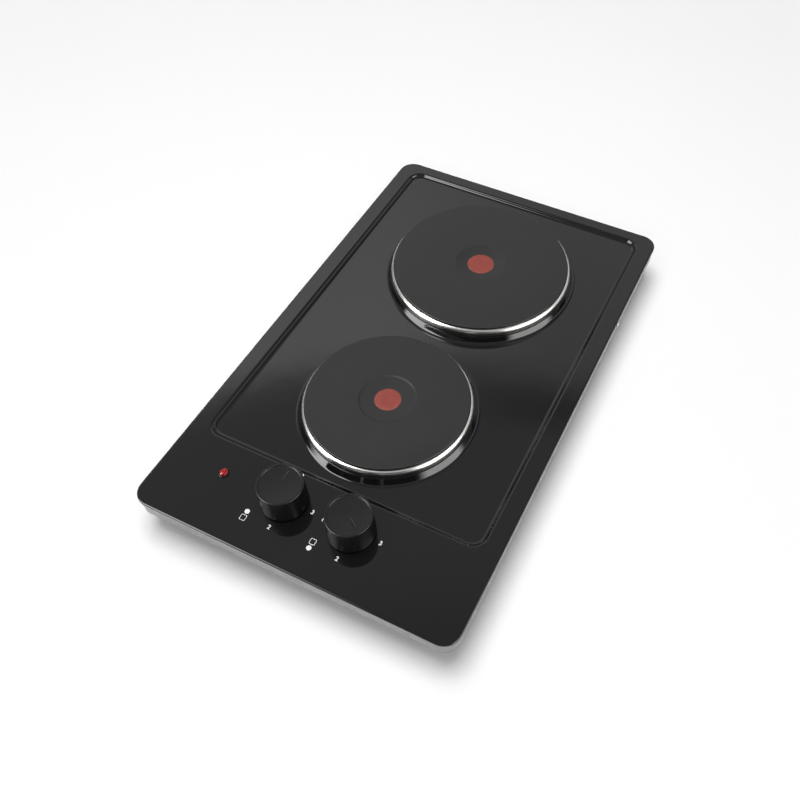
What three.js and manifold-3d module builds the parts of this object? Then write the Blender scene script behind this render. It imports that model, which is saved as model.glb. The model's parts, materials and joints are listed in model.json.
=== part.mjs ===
// Two-plate electric hob (domino size): enamelled top, galvanised two-step pan, two sealed cast-iron
// hotplates and a control panel with two rotary switches. Millimetres, +Z up, front towards -Y.
// Origin: centre of the outline, on the underside of the pan.

import * as THREE from 'three';
import { mergeVertices } from 'three/addons/utils/BufferGeometryUtils.js';
import Module from 'manifold-3d';

const wasm = await Module();
wasm.setup();

// ---------------------------------------------------------------- driving dimensions

const WIDTH = 310; // outline, left to right
const LENGTH = 510; // outline, front to back
const CORNER = 16; // outline corner radius
const RIM_Z = 47; // height of the flat top surface
const SHEET = 1; // sheet thickness of top and pan
const GAP = 0.3; // clearance between touching pieces

const LIP = 2; // height of the turned-down enamelled lip
const EDGE = 1.5; // rounding of the lip's top edge
const WELL = { front: -170, back: 243, half: 139.5, corner: 16, depth: 3.4, run: 6.4 };
const WELL_CURVE = [[1, 0], [0.62, 0.22], [0.3, 0.78], [0, 1]]; // shares of run and depth down its step

const SKIRT_Z = 27; // underside of the pan's upper step
const SKIRT_INSET = 1.3; // the skirt tucks inside the lip
const LOWER_INSET = 20; // inset of the pan's lower step
const LOWER_CORNER = 12;

const PLATE_RISE = 12.9; // top of the cast plates above the rim
const BOSS_RISE = 2.2; // ledge of the raised bosses above the rim
const BOSS = { foot: 7.8, shoulder: 3.4, opening: 3, bend: 0.9, crest: 0.5 }; // from the plate's edge
const RING = { flange: 2.7, inner: 0.4, outer: 3.1, drop: 2.2, slope: 2.6, gauge: 0.9 };
const PLATES = [
  { name: 'rear', x: 1, y: 125, radius: 90.5, recess: 25, segments: 44 },
  { name: 'front', x: -1.3, y: -72.6, radius: 76.2, recess: 27, segments: 40 },
];

const KNOB_Y = -199;
const KNOB_X = 33;
const KNOB = { top: 20.3, base: 20.9, height: 26.6, lift: 1.5, wall: 2.2, ceiling: 4 };
const KNOB_FACE = { sunk: 0.7, bead: 2.4, crest: [1.9, 0.6], pointer: 1.6 }; // bead and crest in from the top
const KNOB_HUB = { radius: 5.2, raised: 5, play: 0.35, stop: 0.5 };
const SHAFT = 3; // switch shaft radius
const SHAFT_FLAT = 1.8; // the D-flat's distance from the shaft's axis
const LAMP = { x: -96, y: -199, radius: 4.4, hole: 3.6 };
const CASE_SCREW = { y: 130, drop: 13, hole: 2 };
const SPRING_Y = 150;

const WELL_Z = RIM_Z - WELL.depth;
const PLATE_Z = RIM_Z + PLATE_RISE;
const BOSS_Z = RIM_Z + BOSS_RISE;

// ---------------------------------------------------------------- materials

const paint = (color, roughness, metalness) =>
  new THREE.MeshStandardMaterial({ color, roughness, metalness });

const enamel = paint(0x1c1c1d, 0.12, 0);
const galvanised = paint(0x9c9ea0, 0.45, 0.9);
const castIron = paint(0x3c3b3b, 0.75, 0.2);
const stainless = paint(0xc9c8c4, 0.18, 1);
const zincSteel = paint(0xa9a9a6, 0.4, 0.9);
const springSteel = paint(0x8f8f92, 0.35, 0.9);
const ceramic = paint(0xe6e1d6, 0.6, 0);
const magnesia = paint(0xb9b2a4, 0.9, 0);
const heatingWire = paint(0x6e6259, 0.5, 0.7);
const phenolic = paint(0x2a2521, 0.5, 0);
const brass = paint(0xb58b3e, 0.35, 0.9);
const knobPlastic = paint(0x262628, 0.42, 0);
const lensRed = paint(0x7c0f12, 0.15, 0);
const foam = paint(0x202020, 0.95, 0);
const sleeve = paint(0xd9d4c8, 0.8, 0);
const rubber = paint(0x1b1b1b, 0.85, 0);

// ---------------------------------------------------------------- solids

// Vertices merged by position, collapsed triangles dropped, faces pointing out.
function closed(geometry) {
  const plain = new THREE.BufferGeometry();
  plain.setAttribute('position', geometry.getAttribute('position').clone());
  if (geometry.index) plain.setIndex(geometry.index.clone());
  const merged = mergeVertices(plain, 1e-3);
  const position = merged.getAttribute('position');
  const source = merged.index.array;
  const kept = [];
  let volume = 0;
  const a = new THREE.Vector3();
  const b = new THREE.Vector3();
  const c = new THREE.Vector3();
  for (let i = 0; i < source.length; i += 3) {
    const [p, q, r] = [source[i], source[i + 1], source[i + 2]];
    if (p === q || q === r || r === p) continue;
    kept.push(p, q, r);
    a.fromBufferAttribute(position, p);
    b.fromBufferAttribute(position, q);
    c.fromBufferAttribute(position, r);
    volume += a.dot(b.cross(c));
  }
  if (volume < 0) kept.reverse();
  merged.setIndex(kept);
  return merged;
}

function toManifold(geometry) {
  const solid = closed(geometry);
  return new wasm.Manifold(
    new wasm.Mesh({
      numProp: 3,
      vertProperties: new Float32Array(solid.getAttribute('position').array),
      triVerts: new Uint32Array(solid.index.array),
    }),
  );
}

function fromManifold(manifold) {
  const mesh = manifold.getMesh();
  const geometry = new THREE.BufferGeometry();
  geometry.setAttribute('position', new THREE.BufferAttribute(new Float32Array(mesh.vertProperties), 3));
  geometry.setIndex(Array.from(mesh.triVerts));
  return geometry;
}

const combine = (verb) => (first, ...others) =>
  fromManifold(others.map(toManifold).reduce((sum, next) => sum[verb](next), toManifold(first)));
const cut = combine('subtract');
const join = combine('add');

// ---------------------------------------------------------------- shape helpers

function roundedLoop(halfX, halfY, radius, y0 = 0, steps = 6) {
  const loop = [];
  const corners = [
    [halfX - radius, halfY - radius],
    [radius - halfX, halfY - radius],
    [radius - halfX, radius - halfY],
    [halfX - radius, radius - halfY],
  ];
  corners.forEach(([cx, cy], quarter) => {
    for (let k = 0; k <= steps; k += 1) {
      const angle = ((quarter + k / steps) * Math.PI) / 2;
      loop.push([cx + radius * Math.cos(angle), y0 + cy + radius * Math.sin(angle)]);
    }
  });
  return loop;
}

// A solid through a stack of matching convex loops, each at its own height.
function stack(levels) {
  const count = levels[0].loop.length;
  const points = levels.flatMap(({ loop, z }) => loop.map(([x, y]) => [x, y, z]));
  const centre = (level) => {
    const sum = level.loop.reduce((total, p) => [total[0] + p[0], total[1] + p[1]], [0, 0]);
    return [sum[0] / count, sum[1] / count, level.z];
  };
  const bottom = points.push(centre(levels[0])) - 1;
  const top = points.push(centre(levels[levels.length - 1])) - 1;
  const faces = [];
  for (let k = 0; k < count; k += 1) {
    const next = (k + 1) % count;
    for (let level = 0; level + 1 < levels.length; level += 1) {
      const low = level * count;
      const high = low + count;
      faces.push(low + k, low + next, high + next, low + k, high + next, high + k);
    }
    const last = (levels.length - 1) * count;
    faces.push(bottom, next, k, top, last + k, last + next);
  }
  const geometry = new THREE.BufferGeometry();
  geometry.setAttribute('position', new THREE.Float32BufferAttribute(points.flat(), 3));
  geometry.setIndex(faces);
  return geometry;
}

// The outline moved inwards by an inset, as one level of a stack.
function outline(inset, z, corner = CORNER) {
  const radius = Math.max(corner - inset, 2);
  return { loop: roundedLoop(WIDTH / 2 - inset, LENGTH / 2 - inset, radius), z };
}

function wellLevel(inset, z) {
  const halfY = (WELL.back - WELL.front) / 2;
  const y0 = (WELL.back + WELL.front) / 2;
  return { loop: roundedLoop(WELL.half - inset, halfY - inset, WELL.corner - inset, y0), z };
}

function turned(profile, segments = 24) {
  const points = profile.map(([radius, height]) => new THREE.Vector2(radius, height));
  return new THREE.LatheGeometry(points, segments).rotateX(Math.PI / 2);
}

const ringProfile = (profile) => [...profile, profile[0]];

function rod(radius, z0, z1, segments = 16) {
  return turned([[0, z0], [radius, z0], [radius, z1], [0, z1]], segments);
}

function tubeRing(inner, outer, z0, z1, segments = 24) {
  return turned(ringProfile([[inner, z0], [outer, z0], [outer, z1], [inner, z1]]), segments);
}

function block(sizeX, sizeY, sizeZ, x = 0, y = 0, z = 0) {
  return new THREE.BoxGeometry(sizeX, sizeY, sizeZ).translate(x, y, z);
}

function extruded(points, depth, holes = []) {
  const shape = new THREE.Shape(points.map(([x, y]) => new THREE.Vector2(x, y)));
  holes.forEach((hole) => shape.holes.push(hole));
  return new THREE.ExtrudeGeometry(shape, { depth, bevelEnabled: false, curveSegments: 8 });
}

// Insulated lead of round section through hand-chosen points.
function lead(points, radius = 1.6, steps = 20, sides = 6) {
  const path = new THREE.CatmullRomCurve3(points.map((p) => new THREE.Vector3(...p)), false, 'centripetal');
  const section = new THREE.Shape();
  for (let k = 0; k < sides; k += 1) {
    const angle = (2 * Math.PI * k) / sides;
    const [x, y] = [radius * Math.cos(angle), radius * Math.sin(angle)];
    if (k === 0) section.moveTo(x, y);
    else section.lineTo(x, y);
  }
  section.closePath();
  return new THREE.ExtrudeGeometry(section, { steps, extrudePath: path, bevelEnabled: false });
}

// Pan-head screw along +Z: head above z = 0, shank below.
function screw({ head, headHeight, shank, length, segments = 10 }) {
  return turned([
    [0, -length], [shank, -length], [shank, 0], [head, 0], [head * 0.8, headHeight], [0, headHeight],
  ], segments);
}

// The same with a crossed recess, for the screws that show.
function crossScrew({ head, headHeight, shank, length, segments = 12 }) {
  const body = screw({ head, headHeight, shank, length, segments });
  const depth = headHeight * 0.5;
  const slot = (x, y) => block(x, y, 2 * depth, 0, 0, headHeight);
  return cut(body, slot(head * 1.1, head * 0.26), slot(head * 0.26, head * 1.1));
}

// ---------------------------------------------------------------- scene graph

const hob = new THREE.Group();

function place(parent, name, geometry, material, position = [0, 0, 0], rotation = [0, 0, 0]) {
  const mesh = new THREE.Mesh(closed(geometry), material);
  mesh.name = name;
  mesh.position.set(...position);
  mesh.rotation.set(...rotation);
  parent.add(mesh);
  return mesh;
}

// ---------------------------------------------------------------- enamelled top

const BRACKET_STUD_X = 59;
const TAB = { width: 16, thickness: 1.2, drop: 17 };

function bossProfile(radius, offset) {
  const outer = radius + BOSS.foot - offset;
  const shoulder = radius + BOSS.shoulder - offset;
  const root = WELL_Z - SHEET / 2 - offset;
  const top = BOSS_Z - offset;
  return [
    [0, root],
    [outer, root],
    [outer, WELL_Z - offset],
    [outer - BOSS.bend, WELL_Z + BOSS.bend * 0.75 - offset],
    [shoulder + BOSS.crest * 0.6, top - BOSS.crest],
    [shoulder - BOSS.crest * 0.8, top],
    [0, top],
  ];
}

function buildTop() {
  const rim = stack([
    outline(0, RIM_Z - LIP),
    outline(0, RIM_Z - EDGE),
    outline(EDGE * 0.3, RIM_Z - EDGE * 0.3),
    outline(EDGE, RIM_Z),
  ]);
  const rimInside = stack([outline(SHEET, RIM_Z - LIP - 1), outline(SHEET, RIM_Z - SHEET)]);
  const wellBack = stack([wellLevel(-SHEET, WELL_Z - SHEET), wellLevel(-SHEET, RIM_Z - SHEET / 2)]);
  const course = WELL_CURVE.map(([run, rise]) => wellLevel(WELL.run * run, WELL_Z + WELL.depth * rise));
  const wellCut = stack([...course, wellLevel(0, RIM_Z + 1)]);
  let top = cut(join(cut(rim, rimInside), wellBack), wellCut);
  PLATES.forEach(({ x, y, radius, segments }) => {
    const outer = turned(bossProfile(radius, 0), segments).translate(x, y, 0);
    const inner = turned(bossProfile(radius, SHEET), segments).translate(x, y, 0);
    const opening = rod(radius - BOSS.opening, WELL_Z - 5, BOSS_Z + 1, segments).translate(x, y, 0);
    top = cut(join(top, outer), inner, opening);
  });
  [-KNOB_X, KNOB_X].forEach((x) => {
    top = cut(top, rod(SHAFT + 1.5, RIM_Z - 4, RIM_Z + 1, 16).translate(x, KNOB_Y, 0));
  });
  top = cut(top, rod(LAMP.hole, RIM_Z - 4, RIM_Z + 1, 16).translate(LAMP.x, LAMP.y, 0));
  const studs = [-BRACKET_STUD_X, BRACKET_STUD_X].map((x) =>
    rod(2, RIM_Z - 9, RIM_Z - SHEET / 2, 10).translate(x, KNOB_Y, 0));
  return cut(join(top, ...studs, ...screwTabs()), ...screwTabs(true));
}

// Welded tabs inside the skirt that the case screws bite into; as holes: the screws' clearance.
function screwTabs(asHoles = false) {
  const inset = SKIRT_INSET + SHEET + GAP + TAB.thickness / 2;
  const z = RIM_Z - SHEET / 2 - TAB.drop / 2;
  return caseScrewPlaces().map(({ x, y, angle }) => {
    const inwards = [Math.cos(angle) * inset, Math.sin(angle) * inset];
    const shape = asHoles
      ? rod(CASE_SCREW.hole, -2, 2, 10).rotateY(Math.PI / 2).translate(0, 0, CASE_SCREW_Z - z)
      : block(TAB.thickness, TAB.width, TAB.drop);
    return shape.rotateZ(angle).translate(x - inwards[0], y - inwards[1], z);
  });
}

const CASE_SCREW_Z = RIM_Z - CASE_SCREW.drop;

function caseScrewPlaces() {
  return [
    { x: WIDTH / 2, y: CASE_SCREW.y, angle: 0 },
    { x: -WIDTH / 2, y: CASE_SCREW.y, angle: Math.PI },
  ];
}

place(hob, 'hob_top', buildTop(), enamel);

// ---------------------------------------------------------------- galvanised pan

const LOWER = { halfX: WIDTH / 2 - LOWER_INSET, halfY: LENGTH / 2 - LOWER_INSET };
const GLAND = { x: 62, z: 13, radius: 7 };
const VENT = { length: 46, width: 5, pitch: 12, count: 3 };
const SPRING_SCREW_Z = 20;

function lowerLevel(inset, z) {
  const radius = LOWER_CORNER - inset;
  return { loop: roundedLoop(LOWER.halfX - inset, LOWER.halfY - inset, radius), z };
}

function springPlaces() {
  return [-1, 1].flatMap((side) => [-1, 1].map((end) => ({ side, y: end * SPRING_Y })));
}

function buildPan() {
  const upper = stack([
    outline(SKIRT_INSET, SKIRT_Z),
    outline(SKIRT_INSET, RIM_Z - SHEET - GAP),
  ]);
  const upperInside = stack([
    outline(SKIRT_INSET + SHEET, SKIRT_Z + SHEET),
    outline(SKIRT_INSET + SHEET, RIM_Z),
  ]);
  const lower = stack([lowerLevel(1.2, 0), lowerLevel(0, 1.2), lowerLevel(0, SKIRT_Z + SHEET / 2)]);
  const lowerInside = stack([lowerLevel(SHEET, SHEET), lowerLevel(SHEET, SKIRT_Z + SHEET * 2)]);
  const holes = [
    rod(GLAND.radius, -4, 4, 20).rotateX(Math.PI / 2).translate(GLAND.x, LOWER.halfY, GLAND.z),
  ];
  PLATES.forEach(({ y }) => {
    for (let k = 0; k < VENT.count; k += 1) {
      const x = (k - (VENT.count - 1) / 2) * VENT.pitch;
      holes.push(block(VENT.width, VENT.length, 4, x, y, 0));
    }
  });
  caseScrewPlaces().forEach(({ x, y, angle }) => {
    const hole = rod(CASE_SCREW.hole, -4, 4, 10).rotateY(Math.PI / 2).rotateZ(angle);
    holes.push(hole.translate(x, y, CASE_SCREW_Z));
  });
  springPlaces().forEach(({ side, y }) => {
    const hole = rod(2, -3, 3, 10).rotateY(Math.PI / 2);
    holes.push(hole.translate(side * LOWER.halfX, y, SPRING_SCREW_Z));
  });
  return cut(join(upper, lower), upperInside, lowerInside, ...holes);
}

place(hob, 'body_pan', buildPan(), galvanised);

const GASKET = { outer: 3, inner: 12, thickness: 2.4 };
const gasketTop = SKIRT_Z - GAP;
place(
  hob,
  'worktop_gasket',
  cut(
    stack([outline(GASKET.outer, gasketTop - GASKET.thickness), outline(GASKET.outer, gasketTop)]),
    stack([outline(GASKET.inner, 0), outline(GASKET.inner, RIM_Z)]),
  ),
  foam,
);

// Case screws: the head sits on the skirt, the shank goes through skirt and tab.
caseScrewPlaces().forEach(({ x, y, angle }, index) => {
  const turn = new THREE.Group();
  turn.position.set(x, y, CASE_SCREW_Z);
  turn.rotation.z = angle;
  hob.add(turn);
  const shape = crossScrew({ head: 3.2, headHeight: 1, shank: 1.7, length: 6 });
  place(turn, `case_screw_${index + 1}`, shape, zincSteel, [-1, 0, 0], [0, Math.PI / 2, 0]);
});

// Side springs that grip the edge of a worktop cut-out.
const SPRING = { width: 16, gauge: 1, top: 25, bend: 12, foot: 4, bulge: 8, bulgeZ: 9, tip: 5.8, tipZ: 17 };

function buildSpring() {
  const { gauge, top, bend, foot, bulge, bulgeZ, tip, tipZ } = SPRING;
  const outer = [[0, top], [0, bend], [1.5, foot], [bulge, bulgeZ], [tip, tipZ]];
  const inner = [
    [tip - gauge, tipZ - 0.4], [bulge - 1.2, bulgeZ + 0.7], [2.1, foot + 1.3], [gauge, bend + 0.2],
    [gauge, top],
  ];
  const strip = extruded([...outer, ...inner], SPRING.width).rotateX(Math.PI / 2);
  strip.translate(0, SPRING.width / 2, 0);
  const hole = rod(2, -3, 3, 10).rotateY(Math.PI / 2).translate(0, 0, SPRING_SCREW_Z);
  return cut(strip, hole);
}

springPlaces().forEach(({ side, y }, index) => {
  const mount = new THREE.Group();
  mount.position.set(side * (LOWER.halfX + GAP), y, 0);
  mount.rotation.z = side > 0 ? 0 : Math.PI;
  hob.add(mount);
  place(mount, `fixing_spring_${index + 1}`, buildSpring(), springSteel);
  const shape = crossScrew({ head: 3, headHeight: 1.4, shank: 1.7, length: 5, segments: 10 });
  const at = [SPRING.gauge + GAP, 0, SPRING_SCREW_Z];
  place(mount, `fixing_spring_screw_${index + 1}`, shape, zincSteel, at, [0, Math.PI / 2, 0]);
});

place(
  hob,
  'cable_gland',
  turned(ringProfile([
    [4.2, -4], [6, -4], [9, -0.3 - SHEET], [6.6, -0.3 - SHEET], [6.6, 0.3], [9, 0.3], [9, 2.4], [4.2, 2.4],
  ]), 20),
  rubber,
  [GLAND.x, LOWER.halfY, GLAND.z],
  [-Math.PI / 2, 0, 0],
);

// ---------------------------------------------------------------- hotplates

const COVER_Z = WELL_Z + 0.5;
const PLATE = { thickness: 7.9, rounding: 0.9, dish: 0.8, dishSlope: 1.5 };
const RIM = { lift: 1.5, ledge: 4, wall: 7, lower: 2.7 }; // the plate's rim: above the boss, in from the edge
const HUB = { radius: 14, depth: 3, bore: 3.4, blind: 2 }; // boss under the plate for the centre stud
const CAVITY_Z = PLATE_Z - PLATE.thickness;
const BAR = { width: 18, thickness: 1.6, overhang: 16, z: WELL_Z - SHEET - GAP };

function castPlate(radius, recess, segments) {
  const shoulder = BOSS_Z + RIM.lift;
  const lower = COVER_Z + RIM.lower;
  return turned([
    [0, PLATE_Z - PLATE.dish],
    [recess - PLATE.dishSlope, PLATE_Z - PLATE.dish],
    [recess, PLATE_Z],
    [radius - PLATE.rounding, PLATE_Z],
    [radius, PLATE_Z - PLATE.rounding * 0.8],
    [radius, shoulder],
    [radius - RIM.ledge, shoulder],
    [radius - RIM.ledge, lower],
    [radius - RIM.wall, lower],
    [radius - RIM.wall, CAVITY_Z],
    [HUB.radius, CAVITY_Z],
    [HUB.radius, CAVITY_Z - HUB.depth],
    [HUB.bore, CAVITY_Z - HUB.depth],
    [HUB.bore, CAVITY_Z + HUB.blind],
    [0, CAVITY_Z + HUB.blind],
  ], segments);
}

function spillRing(radius, segments) {
  const inner = radius + RING.inner;
  const outer = radius + RING.outer;
  const foot = BOSS_Z + GAP;
  const crown = PLATE_Z - RING.drop;
  return turned(ringProfile([
    [radius - RING.flange, foot],
    [outer, foot],
    [outer, crown - RING.slope],
    [outer - RING.gauge, crown - RING.slope * 0.45],
    [inner + RING.gauge / 2, crown],
    [inner, crown - RING.gauge / 3],
    [inner, foot + RING.gauge],
    [radius - RING.flange, foot + RING.gauge],
  ]), segments);
}

function heatingCoil(radius) {
  const turns = 2.5;
  const [start, end] = [24, radius - 15];
  const points = [];
  for (let k = 0; k <= 30; k += 1) {
    const angle = (2 * Math.PI * turns * k) / 30;
    const reach = start + ((end - start) * k) / 30;
    points.push([reach * Math.cos(angle), reach * Math.sin(angle), 0]);
  }
  return lead(points, 1.2, 36, 4);
}

function hexNut(bore, flats, height) {
  const points = [];
  for (let k = 0; k < 6; k += 1) {
    const angle = ((k + 0.5) * Math.PI) / 3;
    const reach = flats / 2 / Math.cos(Math.PI / 6);
    points.push([reach * Math.cos(angle), reach * Math.sin(angle)]);
  }
  const hole = new THREE.Path().absarc(0, 0, bore, 0, 2 * Math.PI, true);
  return extruded(points, height, [hole]);
}

const TERMINAL_OFFSET = { rear: 45, front: 40 };

PLATES.forEach(({ name, x: plateX, y, radius, recess, segments }) => {
  const group = new THREE.Group();
  group.position.set(plateX, y, 0);
  hob.add(group);
  place(group, `${name}_plate`, castPlate(radius, recess, segments), castIron);
  place(group, `${name}_spill_ring`, spillRing(radius, segments), stainless);
  place(group, `${name}_heating_coil`, heatingCoil(radius), heatingWire, [0, 0, CAVITY_Z - 1.6]);
  const insulation = tubeRing(16, radius - 9, COVER_Z + 1.5, CAVITY_Z - 3.1, 24);
  place(group, `${name}_insulation`, insulation, magnesia);
  const dish = turned(ringProfile([
    [4.2, COVER_Z], [radius - 4.5, COVER_Z], [radius - 4.5, COVER_Z + 2.4],
    [radius - 5.5, COVER_Z + 2.4], [radius - 5.5, COVER_Z + 1], [4.2, COVER_Z + 1],
  ]), 28);
  place(group, `${name}_plate_cover`, dish, zincSteel);
  place(group, `${name}_centre_stud`, rod(3, 28, CAVITY_Z + 1.6, 12), zincSteel);
  const length = 2 * (radius + BAR.overhang);
  const bar = cut(
    block(length, BAR.width, BAR.thickness, 0, 0, BAR.z - BAR.thickness / 2),
    rod(3.4, BAR.z - 4, BAR.z + 2, 12),
  );
  place(group, `${name}_clamp_bar`, bar, zincSteel);
  const nutTop = BAR.z - BAR.thickness - GAP;
  place(group, `${name}_stud_nut`, hexNut(3.3, 10, 5), zincSteel, [0, 0, nutTop - 5]);
  const terminal = cut(
    block(34, 16, 11),
    ...[-10, 0, 10].map((x) => block(6, 20, 4, x, 0, -5)),
  );
  const terminalZ = COVER_Z - GAP - 5.5;
  place(group, `${name}_plate_terminal`, terminal, ceramic, [0, -TERMINAL_OFFSET[name], terminalZ]);
  place(group, `${name}_thermal_cutout`, rod(7, COVER_Z - 5.5, COVER_Z - GAP, 14), zincSteel, [0, 30, 0]);
});

// ---------------------------------------------------------------- controls

const BRACKET = { z: 43, thickness: 1.2, halfX: 65, depth: 44 };
const SWITCH = { width: 36, depth: 32, low: 18.5, high: BRACKET.z - GAP, drum: 11 };
const SWITCH_SCREW_X = 14.6;

function buildBracket() {
  const plate = block(2 * BRACKET.halfX, BRACKET.depth, BRACKET.thickness);
  const flange = (side) => {
    const y = (side * (BRACKET.depth - BRACKET.thickness)) / 2;
    return block(2 * BRACKET.halfX, BRACKET.thickness, 6, 0, y, -2.4);
  };
  const holes = [-KNOB_X, KNOB_X].flatMap((x) => [
    rod(SHAFT + 1, -4, 4, 16).translate(x, 0, 0),
    rod(1.8, -4, 4, 10).translate(x - SWITCH_SCREW_X, 0, 0),
    rod(1.8, -4, 4, 10).translate(x + SWITCH_SCREW_X, 0, 0),
  ]);
  const studHoles = [-BRACKET_STUD_X, BRACKET_STUD_X].map((x) => rod(2.3, -4, 4, 10).translate(x, 0, 0));
  return cut(join(plate, flange(-1), flange(1)), ...holes, ...studHoles);
}

const controls = new THREE.Group();
controls.position.y = KNOB_Y;
hob.add(controls);

place(controls, 'switch_bracket', buildBracket(), zincSteel, [0, 0, BRACKET.z + BRACKET.thickness / 2]);
[-BRACKET_STUD_X, BRACKET_STUD_X].forEach((x, index) => {
  const at = [x, 0, BRACKET.z - GAP - 3.2];
  place(controls, `bracket_nut_${index + 1}`, hexNut(2.3, 7, 3.2), zincSteel, at);
});

function switchBody() {
  const height = SWITCH.high - SWITCH.low;
  const middle = (SWITCH.high + SWITCH.low) / 2;
  const housing = block(SWITCH.width, SWITCH.depth, height, 0, 0, middle);
  const cavity = rod(SWITCH.drum + 0.5, SWITCH.low + 2.5, SWITCH.high + 1, 28);
  const slot = block(8, 8, 1.6, 0, SWITCH.depth / 2, SWITCH.low + 9);
  const screwHoles = [-SWITCH_SCREW_X, SWITCH_SCREW_X].map((x) =>
    rod(1.8, SWITCH.high - 9, SWITCH.high + 1, 10).translate(x, 0, 0));
  return cut(housing, cavity, slot, ...screwHoles);
}

const SHAFT_TOP = RIM_Z + 20;

// Cam drum and D-shaft in one moulding.
function switchCam() {
  const shape = turned([
    [0, SWITCH.low + 3],
    [SWITCH.drum, SWITCH.low + 3],
    [SWITCH.drum, SWITCH.high - 1],
    [SHAFT, SWITCH.high - 1],
    [SHAFT, SHAFT_TOP],
    [0, SHAFT_TOP],
  ], 24);
  const flat = block(2 * SHAFT, SHAFT, 14, 0, SHAFT_FLAT + SHAFT / 2, SHAFT_TOP - 6);
  const notches = [0, 1, 2, 3].map((k) => {
    const angle = (k * Math.PI) / 2;
    const at = [SWITCH.drum * Math.cos(angle), SWITCH.drum * Math.sin(angle), SWITCH.low + 14];
    return block(2.4, 2.4, 6).translate(...at);
  });
  return cut(shape, flat, ...notches);
}

const KNOB_LOW = RIM_Z + KNOB.lift;
const KNOB_HIGH = KNOB_LOW + KNOB.height;

function knobShape() {
  const inner = KNOB.base - KNOB.wall;
  const ceiling = KNOB_HIGH - KNOB.ceiling;
  const face = KNOB_HIGH - KNOB_FACE.sunk;
  const bore = SHAFT + KNOB_HUB.play;
  const boreTop = SHAFT_TOP + KNOB_HUB.stop;
  const hubLow = KNOB_LOW + KNOB_HUB.raised;
  const shell = turned([
    [0, face],
    [KNOB.top - KNOB_FACE.bead, face],
    [KNOB.top - KNOB_FACE.crest[0], KNOB_HIGH],
    [KNOB.top - KNOB_FACE.crest[1], KNOB_HIGH],
    [KNOB.top, face],
    [KNOB.base, KNOB_LOW],
    [inner, KNOB_LOW],
    [inner, ceiling],
    [KNOB_HUB.radius, ceiling],
    [KNOB_HUB.radius, hubLow],
    [bore, hubLow],
    [bore, boreTop],
    [0, boreTop],
  ], 28);
  const flatLow = hubLow + 3.4; // the flat in the bore starts above its mouth
  const flatY = SHAFT_FLAT + KNOB_HUB.play;
  const flat = block(2 * SHAFT, 1.2, boreTop - flatLow, 0, flatY + 0.6, (boreTop + flatLow) / 2);
  const pointer = block(KNOB_FACE.pointer, KNOB.top - 5.5, 1, 0, KNOB.top / 2 + 0.7, face);
  return cut(join(shell, flat), pointer);
}

// Split spring clip that grips the knob's hub on the shaft.
function knobClip() {
  const [inner, outer, open] = [5.5, 6.3, 0.6];
  const shape = new THREE.Shape();
  shape.absarc(0, 0, outer, open, 2 * Math.PI - open, false);
  shape.absarc(0, 0, inner, 2 * Math.PI - open, open, true);
  shape.closePath();
  return new THREE.ExtrudeGeometry(shape, { depth: 3, bevelEnabled: false, curveSegments: 10 });
}

const CONTROLS = [
  { name: 'left', x: -KNOB_X, angle: 0 },
  { name: 'right', x: KNOB_X, angle: 234 },
];

CONTROLS.forEach(({ name, x, angle }, index) => {
  const unit = new THREE.Group();
  unit.position.x = x;
  controls.add(unit);
  place(unit, `${name}_switch_body`, switchBody(), phenolic);
  const terminal = block(7, 12, 0.8);
  place(unit, `${name}_switch_terminal`, terminal, brass, [0, SWITCH.depth / 2 + 2.2, SWITCH.low + 9]);
  [-SWITCH_SCREW_X, SWITCH_SCREW_X].forEach((screwX, side) => {
    const shape = screw({ head: 2.8, headHeight: 1.1, shank: 1.5, length: 8, segments: 10 });
    const at = [screwX, 0, BRACKET.z + BRACKET.thickness + GAP];
    place(unit, `switch_screw_${2 * index + side + 1}`, shape, zincSteel, at);
  });
  const turning = new THREE.Group();
  turning.rotation.z = (angle * Math.PI) / 180;
  unit.add(turning);
  place(turning, `${name}_switch_cam`, switchCam(), phenolic);
  place(turning, `${name}_knob`, knobShape(), knobPlastic);
  place(turning, `${name}_knob_clip`, knobClip(), springSteel, [0, 0, KNOB_LOW + 7]);
});

const lens = turned([
  [0, RIM_Z - 3.8],
  [LAMP.hole - 0.4, RIM_Z - 3.8],
  [LAMP.hole - 0.4, RIM_Z + GAP],
  [LAMP.radius, RIM_Z + GAP],
  [LAMP.radius, RIM_Z + 0.9],
  [LAMP.radius - 0.7, RIM_Z + 2.1],
  [LAMP.radius - 2, RIM_Z + 2.9],
  [0, RIM_Z + 3.3],
], 20);
place(hob, 'lamp_lens', lens, lensRed, [LAMP.x, LAMP.y, 0]);

const lampBody = turned([
  [0, 27],
  [4.6, 27],
  [4.6, RIM_Z - SHEET - GAP],
  [LAMP.hole, RIM_Z - SHEET - GAP],
  [LAMP.hole, RIM_Z - 4.2],
  [0, RIM_Z - 4.2],
], 20);
place(hob, 'lamp_body', lampBody, ceramic, [LAMP.x, LAMP.y, 0]);

// ---------------------------------------------------------------- wiring

const BLOCK_Y = 196;
const terminalBlock = cut(
  block(44, 20, 15),
  ...[-14, 0, 14].map((x) => block(9, 24, 5, x, 0, 7)),
);
place(hob, 'mains_terminal_block', terminalBlock, ceramic, [GLAND.x, BLOCK_Y, SHEET + GAP + 7.5]);
const earth = screw({ head: 4, headHeight: 2, shank: 2, length: 3 });
place(hob, 'earth_screw', earth, brass, [16, BLOCK_Y + 6, SHEET + GAP + 3]);

const switchSide = SWITCH.width / 2 + 1.3;
const plateEnd = (index, side) => {
  const { name, x, y } = PLATES[index];
  return [x + side * 17.5, y - TERMINAL_OFFSET[name], 37];
};

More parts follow.
